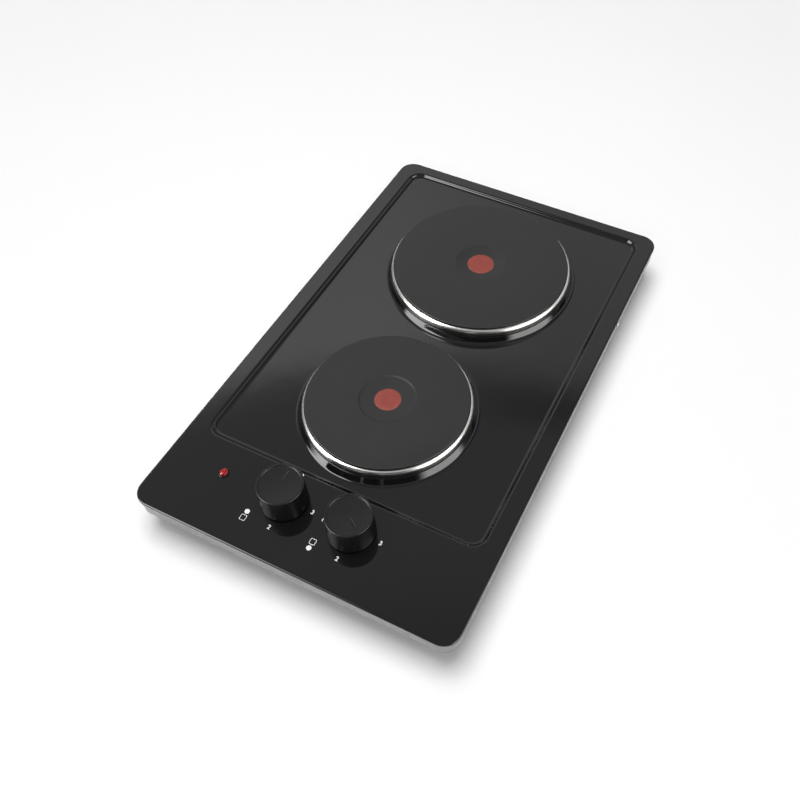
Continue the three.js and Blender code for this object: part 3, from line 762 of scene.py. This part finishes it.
def add_side_screw(name, node, head, height, length, reach=None):
    """A screw in one of the hob's sides; its head ends at the reach, or where the node ends."""
    low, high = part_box(node)
    side = 1 if high.x > 0 else -1
    face = (reach or (high.x if side > 0 else -low.x)) - height
    middle = centre_of(node)
    place = shift(side * face, middle.y, middle.z)
    mesh = moved(pan_head_screw(head, height, SCREW_SHANK, length), turn(side * 90, "Y"), place)
    add(name, mesh, "zinc_steel", [node])


for k in (1, 2):
    add_side_screw(f"skirt_screw_{k}", f"case_screw_{k}", 3.2 * MM, 1 * MM, 6 * MM, HALF_X)
for k in range(1, 5):
    add_side_screw(f"spring_screw_{k}", f"fixing_spring_screw_{k}", 3 * MM, 1.4 * MM, 5 * MM)


SPRING_COURSE = ((0.5, 25), (0.5, 18), (0.5, 11), (1.9, 5), (4.9, 5.4), (7.3, 9.2), (5.4, 16.6))
SPRING_GAUGE, SPRING_WIDTH = 0.9 * MM, 16 * MM


def curve_value(before, start, end, after, t):
    """One coordinate of a Catmull-Rom curve between start and end."""
    bend = 2 * before - 5 * start + 4 * end - after
    twist = 3 * start - before - 3 * end + after
    return 0.5 * (2 * start + (end - before) * t + bend * t ** 2 + twist * t ** 3)


def smooth_line(points, steps=6):
    """Points on a smooth plane curve through control points."""
    padded = [points[0], *points, points[-1]]
    line = []
    for four in zip(padded, padded[1:], padded[2:], padded[3:]):
        for k in range(steps):
            line.append(tuple(curve_value(*values, k / steps) for values in zip(*four)))
    return [*line, points[-1]]


def build_spring():
    """A bent strip: flat against the pan, then a hook that bulges out and returns."""
    line = smooth_line([(x * MM, z * MM) for x, z in SPRING_COURSE])
    left, right = [], []
    for k, (x, z) in enumerate(line):
        ahead, behind = line[min(k + 1, len(line) - 1)], line[max(k - 1, 0)]
        along = Vector((ahead[0] - behind[0], ahead[1] - behind[1])).normalized() * SPRING_GAUGE / 2
        left.append((x - along.y, z + along.x))
        right.append((x + along.y, z - along.x))
    half = SPRING_WIDTH / 2
    strip = moved(prism([left + right[::-1]], -half, half), turn(90, "X"))
    return worked(strip, ("BEVEL", {"width": 0.2 * MM, "segments": 2, "limit_method": "ANGLE"}))


def add_springs():
    for k in range(1, 5):
        low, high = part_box(f"fixing_spring_{k}")
        side = 1 if high.x > 0 else -1
        wall = low.x if side > 0 else -high.x
        place = shift(side * wall, (low.y + high.y) / 2)
        mesh = moved(build_spring(), turn(0 if side > 0 else 180), place)
        add(f"side_spring_{k}", mesh, "spring_steel", [f"fixing_spring_{k}"])


add_springs()


def add_gland():
    """Rubber bush in the back wall: a grooved collar with a rounded nose."""
    middle = centre_of("cable_gland")
    bore, groove, flange = 4.2 * MM, 6.6 * MM, 9 * MM
    profile = [
        (bore, -4 * MM), (bore + 0.6 * MM, -4.2 * MM), (6 * MM, -4 * MM), (flange, -1.4 * MM),
        (flange, -1.2 * MM), (groove, -1.2 * MM), (groove, 0.3 * MM), (flange, 0.3 * MM),
        *arc((flange - 0.8 * MM, 1.6 * MM), 0.8 * MM, 0, 90, 4),
        (6.2 * MM, 2.4 * MM), (bore + 0.5 * MM, 2.3 * MM), (bore, 1.8 * MM),
    ]
    place = shift(middle.x, LOWER_Y, middle.z)
    mesh = moved(turned(profile, SMALL_ROUND_STEPS, closed=True), turn(-90, "X"), place)
    add("gland_bush", mesh, "rubber", ["cable_gland"], sharp=50)


add_gland()

# ---- hotplates


def dish(name, top):
    """(radius, height) points of the sunk middle: flat under the dot, a shallow cone, then a bevel."""
    recess, flat = RECESS[name], DOT[name] + 0.3 * MM
    low, high = top - RECESS_DEPTH - 0.15 * MM, top - 0.15 * MM
    bevel, degrees = DISH_BEVEL[name]
    start, level = recess - bevel, high - bevel * math.tan(math.radians(degrees))
    cone = [(flat + (start - flat) * t, low + (level - low) * t ** 1.1) for t in (0.15, 0.4, 0.7, 0.92)]
    return [(0, low), (flat * 0.5, low), (flat, low), *cone, (start, level), (recess, high)]


def plate_profile(name, radius, top):
    """Cast plate: dished middle, flat turned face, rounded rim, and the hollow that holds the coil."""
    shoulder = BOSS_Z + 1.5 * MM
    cavity = top - 7.9 * MM
    cover = WELL_Z + 3.2 * MM
    roll = 0.8 * MM
    recess = RECESS[name]
    return [
        *dish(name, top),
        (recess + 0.25 * MM, top - 0.02 * MM),
        (recess + 0.6 * MM, top),
        (radius - roll - 0.5 * MM, top),
        *arc((radius - roll, top - roll), roll, 90, 0, 7),
        (radius, shoulder + 0.3 * MM),
        (radius - 0.3 * MM, shoulder),
        (radius - 4 * MM, shoulder),
        (radius - 4 * MM, cover),
        (radius - 7 * MM, cover),
        (radius - 7 * MM, cavity),
        (14 * MM, cavity),
        (14 * MM, cavity - 3 * MM),
        (3.4 * MM, cavity - 3 * MM),
        (3.4 * MM, cavity + 2 * MM),
        (0, cavity + 2 * MM),
    ]


def ring_profile(radius, crown):
    """Spill ring: a crowned shoulder that slopes out, a straight wall and a flange under the plate."""
    foot = BOSS_Z + 0.3 * MM
    inner, outer = radius + 0.4 * MM, radius + 3.1 * MM
    sweep = 4.6 * MM
    start, end = math.radians(68), math.radians(24)
    reach = sweep * (math.cos(end) - math.cos(start))
    middle = outer - 0.25 * MM - reach - sweep * math.cos(start)
    level = crown - 0.1 * MM - sweep * math.sin(start)
    shoulder = arc((middle, level), sweep, 68, 24, 10)
    last = shoulder[-1]
    return [
        (radius - 2.7 * MM, foot + 0.9 * MM),
        (inner, foot + 0.9 * MM),
        (inner, crown - 0.35 * MM),
        (inner + 0.08 * MM, crown - 0.12 * MM),
        (inner + 0.22 * MM, crown),
        *shoulder,
        (last[0] + 0.17 * MM, last[1] - 0.5 * MM),
        (outer, last[1] - 1.1 * MM),
        (outer, foot + 0.4 * MM),
        (outer - 0.12 * MM, foot + 0.12 * MM),
        (outer - 0.4 * MM, foot),
        (radius - 2.7 * MM, foot),
    ]


def add_hotplates():
    for name, middle in PLATE_CENTRE.items():
        radius = plate_radius(name)
        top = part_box(f"{name}_plate")[1].z
        place = shift(middle.x, middle.y)
        casting = moved(turned(plate_profile(name, radius, top)), place)
        add(f"{name}_plate_casting", casting, "cast_iron", [f"{name}_plate"], sharp=28, material=IRON[name])
        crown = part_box(f"{name}_spill_ring")[1].z
        bead = moved(turned(ring_profile(radius, crown), closed=True), place)
        replaced = [f"{name}_spill_ring"]
        add(f"{name}_spill_bead", bead, "stainless", replaced, sharp=40, material=STEEL_RING[name])
        add_dot(name, top, place)


def add_dot(name, top, place):
    """Painted spot in the middle of the dish."""
    paint, size = 0.06 * MM, DOT[name]
    low = dish(name, top)[0][1]
    edge = [(size, low + paint * 0.3), (size - 0.12 * MM, low + paint * 0.9)]
    face = [(size * 0.6, low + paint), (0, low + paint)]
    dot = moved(turned([(0, low - paint), (size, low - paint), *edge, *face]), place)
    add(f"{name}_plate_dot", dot, "dot_red", sharp=50, material=RED_DOT[name])


add_hotplates()

# ---- controls

KNOB_LOW, KNOB_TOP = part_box("left_knob")[0].z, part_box("left_knob")[1].z
KNOB_BASE = (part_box("left_knob")[1].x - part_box("left_knob")[0].x) / 2
KNOB_CROWN = KNOB_BASE - 0.6 * MM


def knob_profile():
    """Turned cap: sunk face, rounded bead, slightly tapered side, hollow inside with a hub."""
    face = KNOB_TOP - 0.75 * MM
    bead = 0.85 * MM
    wall = KNOB_BASE - 2.2 * MM
    ceiling = KNOB_TOP - 4 * MM
    return [
        (0, face),
        (KNOB_CROWN - 3.0 * MM, face),
        *arc((KNOB_CROWN - 3.0 * MM, face + 0.5 * MM), 0.5 * MM, -90, -25, 4),
        *arc((KNOB_CROWN - bead - 0.75 * MM, KNOB_TOP - 0.6 * MM), 0.6 * MM, 155, 90, 4),
        *arc((KNOB_CROWN - bead, KNOB_TOP - bead), bead, 90, 4, 6),
        (KNOB_BASE - 0.05 * MM, KNOB_LOW + 0.6 * MM),
        *arc((KNOB_BASE - 0.5 * MM, KNOB_LOW + 0.5 * MM), 0.5 * MM, 0, -90, 4),
        (wall, KNOB_LOW),
        (wall, ceiling),
        (5.2 * MM, ceiling),
        (5.2 * MM, KNOB_LOW + 5 * MM),
        (3.35 * MM, KNOB_LOW + 5 * MM),
        (3.35 * MM, RIM_Z + 20.5 * MM),
        (0, RIM_Z + 20.5 * MM),
    ]


def knob(degrees):
    """A knob turned to its angle, with its pointer groove cut into the face."""
    return moved(cut(turned(knob_profile(), 128), pointer_groove()), turn(degrees))


def pointer_groove():
    """The volume of a groove with sloping sides that runs from near the knob's middle along +Y."""
    start, length, wide, narrow, depth = 3 * MM, 11.5 * MM, 1.15 * MM, 0.5 * MM, 0.35 * MM
    face, above = KNOB_TOP - 0.75 * MM, 1 * MM
    ease = (wide - narrow) / 2
    shell = Shell()
    upper = [(x, start + y) for x, y in capsule(length, wide)]
    lower = [(x, start + ease + y) for x, y in capsule(length - 2 * ease, narrow)]
    levels = ((lower, face - depth), (upper, face), (upper, face + above))
    first, last = shell.loft([[(x, y, z) for x, y in points] for points, z in levels])
    shell.fill([first], up=False)
    shell.fill([last])
    return shell.mesh("pointer_groove")


def dial_marks(x, y):
    """The figures 0 to 3 round a knob, about a quarter turn apart, as thin prints."""
    marks = []
    for figure, degrees in zip("0123", MARK_ANGLES):
        angle = math.radians(degrees)
        at = shift(x + MARK_RADIUS * math.cos(angle), y + MARK_RADIUS * math.sin(angle), RIM_Z)
        marks.append(moved(lettering(figure, 5.6 * MM), at))
    return merged(marks, "dial_marks")


def lettering(text, size, thickness=0.05 * MM):
    """Upright figures as a closed thin solid, centred on the origin."""
    curve = bpy.data.curves.new("lettering", "FONT")
    curve.body = text
    curve.size = size
    curve.extrude = thickness
    curve.offset = size * 0.03
    curve.align_x, curve.align_y = "CENTER", "CENTER"
    curve.resolution_u = 6
    mesh = worked(curve)
    solid = bmesh.new()
    solid.from_mesh(mesh)
    bmesh.ops.remove_doubles(solid, verts=solid.verts, dist=SAME_POINT)
    bmesh.ops.recalc_face_normals(solid, faces=solid.faces)
    solid.to_mesh(mesh)
    solid.free()
    xs, ys = [v.co.x for v in mesh.vertices], [v.co.y for v in mesh.vertices]
    return moved(mesh, shift(-(min(xs) + max(xs)) / 2, -(min(ys) + max(ys)) / 2))


ICON_Y = -225 * MM
ICONS = (("left", -56 * MM, True), ("right", 9 * MM, False))


def plate_icon(x, y, rear_marked):
    """Two small shapes, one behind the other: a full disc for the plate that the knob serves."""
    low, high = RIM_Z - 0.02 * MM, RIM_Z + 0.05 * MM
    reach, half, line = 3.1 * MM, 2.8 * MM, 0.5 * MM
    side = 1 if rear_marked else -1
    disc = prism([flat_loop(ring(half - line, 0, (x, y + side * reach), 40))], low, high)
    outer = rounded(half, half, 1.2 * MM, 0, (x, y - side * reach), 6)
    inner = rounded(half - line, half - line, 0.6 * MM, 0, (x, y - side * reach), 6)
    frame_shape = prism([flat_loop(outer), flat_loop(inner)], low, high)
    return merged([disc, frame_shape], "plate_icon")


def add_controls():
    for side, icon_x, rear_marked in ICONS:
        joint = JOINTS[f"{side}_knob_turn"]
        x, y = joint_xy(f"{side}_knob_turn")
        cap = moved(knob(-joint["range_deg"][0]), shift(x, y))
        add(f"{side}_knob_cap", cap, "knob_black", [f"{side}_knob"], sharp=35, body=f"{side}_control")
        add(f"{side}_dial_print", dial_marks(x, y), "print_white")
        add(f"{side}_plate_icon", plate_icon(icon_x, ICON_Y, rear_marked), "print_white")


add_controls()


LAMP_LENS, LAMP_STEM, LAMP_RIM = 3.9 * MM, 3.2 * MM, 4.9 * MM
LAMP_SPRING, LAMP_DEPTH = 0.9 * MM, 3.8 * MM


def add_lamp():
    """Pilot lamp: a domed red lens in a black snap-in bezel."""
    middle, top = centre_of("lamp_lens"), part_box("lamp_lens")[1].z
    place = shift(middle.x, middle.y)
    lens_r, stem_r, rim_r = LAMP_LENS, LAMP_STEM, LAMP_RIM
    spring, foot = RIM_Z + LAMP_SPRING, RIM_Z - LAMP_DEPTH
    rise = top - spring
    dome = [
        (lens_r * math.cos(math.radians(a)), spring + rise * math.sin(math.radians(a)))
        for a in range(0, 90, 9)
    ]
    stem = [(0, foot), (stem_r, foot), (stem_r, RIM_Z), (lens_r, RIM_Z + 0.3 * MM)]
    lens = turned([*stem, *dome, (0, top)], SMALL_ROUND_STEPS)
    add("lamp_dome", moved(lens, place), "lens_red", ["lamp_lens"])
    section = [
        (lens_r + 0.1 * MM, RIM_Z + 0.05 * MM),
        (rim_r, RIM_Z + 0.05 * MM),
        *arc((rim_r - 0.5 * MM, RIM_Z + 0.6 * MM), 0.5 * MM, 0, 90, 4),
        (lens_r + 0.3 * MM, RIM_Z + 1.0 * MM),
        (lens_r + 0.1 * MM, RIM_Z + 0.8 * MM),
    ]
    bezel = turned(section, SMALL_ROUND_STEPS, closed=True)
    add("lamp_bezel", moved(bezel, place), "knob_black")


add_lamp()

# ---- finishes of the carried-over parts

for part in frame["record"]["subparts"]:
    node = frame["nodes"][part["node"]]
    if not node.hide_render:
        node.data.materials.clear()
        node.data.materials.append(FINISHES[part["material_slot"]])

# ---- floor, light and camera

FLOOR_GAP = 0.1 * MM
FLOOR_RADIUS = 6.0
FLOOR_HOLE_INSET = 6 * MM
FLOOR_GLOW = (0.7, 1.7)
LIGHT_DISTANCE = 3.0


def add_floor():
    """A pale floor that is only seen from above and glows far away; it has a hole under the pan."""
    shell = Shell()
    level = PAN_Z - FLOOR_GAP
    hole = shell.loop(lower_loop(FLOOR_HOLE_INSET, level))
    shell.fill([shell.loop(ring(FLOOR_RADIUS, level, steps=96)), hole])
    made = Finish("floor_white", (0.9, 0.9, 0.9), 0.9, specular_ior_level=0.0)
    made.colour(made.noise(3, 2.0), (0.88, 0.88, 0.88), (0.9, 0.9, 0.9))
    geometry = made.node("ShaderNodeNewGeometry")
    away = made.node("ShaderNodeVectorMath", operation="LENGTH")
    made.link(geometry.outputs["Position"], away.inputs[0])
    far = made.ramp(away.outputs["Value"], *FLOOR_GLOW)
    glow = made.node("ShaderNodeEmission").outputs["Emission"]
    clear = made.node("ShaderNodeBsdfTransparent").outputs["BSDF"]
    pale = made.mixed(far, made.shader.outputs["BSDF"], glow)
    shown = made.mixed(geometry.outputs["Backfacing"], pale, clear)
    made.link(shown, made.tree.nodes["Material Output"].inputs["Surface"])
    mesh = shell.mesh("floor", outward=False)
    mesh.materials.append(made.material)
    in_scene("floor", mesh)


def direction(azimuth, elevation):
    """Unit vector; azimuth counter-clockwise from +X, both in degrees."""
    a, e = math.radians(azimuth), math.radians(elevation)
    return Vector((math.cos(a) * math.cos(e), math.sin(a) * math.cos(e), math.sin(e)))


def lamp_sheet(name, place, facing, wide, tall, radiance, **sight):
    """A rectangular studio light of even radiance, with the kinds of ray that see it."""
    light = bpy.data.lights.new(name, "AREA")
    light.shape = "RECTANGLE"
    light.size, light.size_y = wide, tall
    light.energy = radiance * math.pi * wide * tall
    holder = in_scene(name, light)
    holder.location = place
    holder.rotation_mode = "QUATERNION"
    holder.rotation_quaternion = facing.to_track_quat("Z", "Y")
    holder.visible_camera = False
    for setting, value in sight.items():
        setattr(holder, setting, value)
    return light


def faded(light, side, end):
    """Lets a rectangular light fade towards its edges; side and end are shares of its size."""
    made = Nodes(light)
    place = made.axes(made.node("ShaderNodeNewGeometry").outputs["Parametric"])
    level = 1.0
    for axis, share in (("X", side), ("Y", end)):
        for start, stop in ((0, share), (1, 1 - share)):
            level = made.maths("MULTIPLY", level, made.ramp(place[axis], start, stop))
    made.link(level, made.tree.nodes["Emission"].inputs["Strength"])


def overhead(name, azimuth, elevation, angle, radiance):
    """A square light above the hob that gives the soft shadows and no reflection."""
    toward = direction(azimuth, elevation)
    side = 2 * LIGHT_DISTANCE * math.tan(math.radians(angle / 2))
    lamp_sheet(name, toward * LIGHT_DISTANCE, toward, side, side, radiance, visible_glossy=False)


def underneath(azimuth, elevation, side, radiance):
    """A square light below the floor, for the pan's underside; the floor hides the rest from it."""
    toward = direction(azimuth, elevation)
    lamp_sheet("under_fill", toward * LIGHT_DISTANCE, toward, side, side, radiance)


def standing(name, azimuth, half, low, high, radiance, side):
    """An upright soft box that shows in glossy surfaces only; its extents are angles from the hob."""
    bottom, top = (LIGHT_DISTANCE * math.tan(math.radians(angle)) for angle in (low, high))
    toward = direction(azimuth, 0)
    place = toward * LIGHT_DISTANCE + Vector((0, 0, (bottom + top) / 2))
    wide = 2 * LIGHT_DISTANCE * math.tan(math.radians(half))
    light = lamp_sheet(name, place, toward, wide, top - bottom, radiance, visible_diffuse=False)
    faded(light, side, SOFT_END)


class Sky(Nodes):
    """The studio's walls and ceiling as a function of direction."""

    def __init__(self):
        bpy.context.scene.world = bpy.data.worlds.new("studio")
        super().__init__(bpy.context.scene.world)
        self.where = self.node("ShaderNodeTexCoord").outputs["Generated"]

    def window(self, azimuth, half, low, high, soft, side, foot=None):
        """1 inside a band of azimuth and elevation and 0 outside it, all in degrees."""
        way = self.node("ShaderNodeVectorRotate", rotation_type="Z_AXIS", angle=math.radians(-azimuth))
        self.link(self.where, way.inputs["Vector"])
        axes = self.axes(way.outputs["Vector"])
        around = self.maths("ABSOLUTE", self.maths("ARCTAN2", axes["Y"], axes["X"]))
        rise = self.maths("ARCSINE", axes["Z"])
        foot = foot or soft
        within = self.ramp(around, math.radians(half + side), math.radians(half - side))
        above = self.ramp(rise, math.radians(low - foot), math.radians(low + foot))
        below = self.ramp(rise, math.radians(high + soft), math.radians(high - soft))
        return self.maths("MULTIPLY", within, self.maths("MULTIPLY", above, below))

    def darkened(self, level, where, share):
        """The level less a share of it where something is 1."""
        left = self.maths("SUBTRACT", 1.0, self.maths("MULTIPLY", where, share))
        return self.maths("MULTIPLY", level, left)

    def finish(self, level):
        """Lights the scene, matt surfaces least, and shows the camera a plain white wall."""
        rays = self.node("ShaderNodeLightPath").outputs
        level = self.darkened(level, rays["Is Diffuse Ray"], 1.0 - DIFFUSE_SHARE)
        unseen = self.darkened(level, rays["Is Camera Ray"], 1.0)
        background = self.tree.nodes["Background"]
        background.inputs["Color"].default_value = (1, 1, 1, 1)
        self.link(self.maths("ADD", unseen, rays["Is Camera Ray"]), background.inputs["Strength"])


def add_room():
    """Pale ceiling, a brighter wall behind on the left, and darkness low down and behind the camera."""
    sky = Sky()
    level = CEILING
    for name, amount, *window in PANELS:
        level = sky.maths("ADD", level, sky.maths("MULTIPLY", sky.window(*window), amount))
    for name, share, *window in SHADES:
        level = sky.darkened(level, sky.window(*window, SHADE_SIDE), share)
    sky.finish(level)


DIFFUSE_SHARE = 0.4
CEILING = 0.47
# brighter parts of the room: name, radiance, azimuth, half width, low, high, softness, side, foot
PANELS = (
    ("wall", 0.3, 128, 33, 24, 51.3, 1.4, 4.0, 10.0),
    ("glare", 0.85, 140, 26, 42, 50.1, 1.1, 10.0, 13.0),
    ("right_wall", 0.3, 46, 36, 6, 35, 4.0, 8.0, 4.0),
)
# darker parts of the room: name, share taken away, azimuth, half width, low, high, softness
SHADES = (
    ("zenith", 0.3, 0, 200, 67, 95, 4.0),
    ("horizon", 0.6, 0, 200, -95, 7, 4.0),
    ("left_low", 0.6, 178, 24, -95, 11, 5.0),
    ("camera_side", 0.92, 285, 42, -95, 38, 5.0),
    ("far_right", 0.7, 60, 33, 38, 58, 4.0),
    ("cornice", 0.4, 104, 8, 52.4, 54.8, 0.8),
)
# light from above: name, azimuth, elevation, angle across, radiance
OVERHEADS = (("overhead_key", 160, 84, 30, 8.1), ("front_fill", 290, 60, 56, 1.2))
UNDERSIDE_LIGHT = (290, -70, 3.0, 2.6)
# soft boxes that stand on the floor: name, azimuth, half width, low, high, radiance, soft share at the sides
SOFT_BOXES = (("left_soft_box", 224.5, 22, 0, 62, 8.0, 0.15), ("right_soft_box", -6, 29, 0, 44, 5.4, 0.22))
SOFT_END = 0.06
SHADE_SIDE = 6.0
CAMERA = {"azimuth": 25.243, "elevation": 53.21, "roll": 0.719, "distance": 0.7858}
AIM = Vector((52.26 * MM, -33.51 * MM, RIM_Z))
SENSOR = 36.0
LENS = 37.72
SHIFT = (-0.0734, -0.004)


def add_camera():
    data = bpy.data.cameras.new("camera")
    data.sensor_width, data.lens = SENSOR, LENS
    data.shift_x, data.shift_y = SHIFT
    camera = in_scene("camera", data)
    back = direction(CAMERA["azimuth"] - 90, CAMERA["elevation"])
    right = (-back).cross(Vector((0, 0, 1))).normalized()
    up = right.cross(-back)
    roll = math.radians(CAMERA["roll"])
    right = right * math.cos(roll) + up * math.sin(roll)
    up = right.cross(-back)
    camera.matrix_world = Matrix((
        (right.x, up.x, back.x, AIM.x + back.x * CAMERA["distance"]),
        (right.y, up.y, back.y, AIM.y + back.y * CAMERA["distance"]),
        (right.z, up.z, back.z, AIM.z + back.z * CAMERA["distance"]),
        (0, 0, 0, 1),
    ))
    bpy.context.scene.camera = camera


add_floor()
add_room()
for numbers in OVERHEADS:
    overhead(*numbers)
underneath(*UNDERSIDE_LIGHT)
for numbers in SOFT_BOXES:
    standing(*numbers)
add_camera()
bpy.context.scene.view_settings.view_transform = "Standard"
